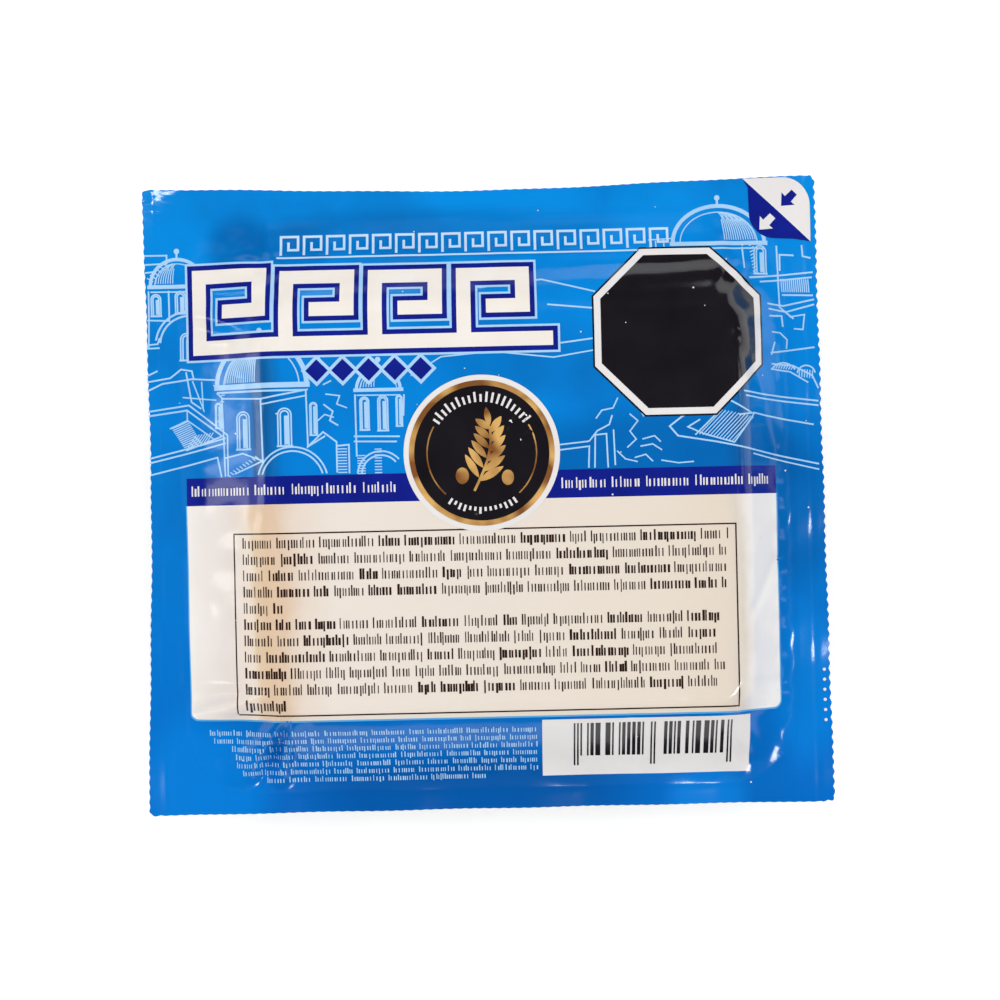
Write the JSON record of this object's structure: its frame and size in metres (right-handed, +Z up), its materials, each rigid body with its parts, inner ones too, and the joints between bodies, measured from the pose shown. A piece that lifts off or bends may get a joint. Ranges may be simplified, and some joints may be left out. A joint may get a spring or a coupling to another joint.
{
  "type": "vacuum-packed cheese block",
  "caption": "Block of brined white cheese sealed in a flexible vacuum pack, printed lid film up, with a flat sealed rim all round.",
  "frame": {"origin": "middle of the pack's outline, on the surface that it lies on", "axes": "+Z up, out of the printed lid film; +X along the pack's longer side, to the right as the print is seen; +Y to the pack's top edge"},
  "size_m": [0.137, 0.125, 0.03],
  "materials": {
    "printed_film": "laminated polyethylene film, reverse printed sky blue, glossy",
    "cream_print": "milky printed window of the same film, over the cheese",
    "navy_ink": "navy blue ink under the glossy film",
    "white_ink": "white ink under the glossy film",
    "pale_blue_ink": "thin white linework that lets the blue through",
    "black_ink": "black ink under the glossy film",
    "brown_ink": "dark brown ink under the glossy film",
    "gold_ink": "bronze-gold halftone ink under the glossy film",
    "back_film": "clear thermoformed film",
    "cheese": "moist brined white cheese, finely pitted"
  },
  "bodies": {
    "root": {"pack": "printed_film"}
  },
  "joints": []
}
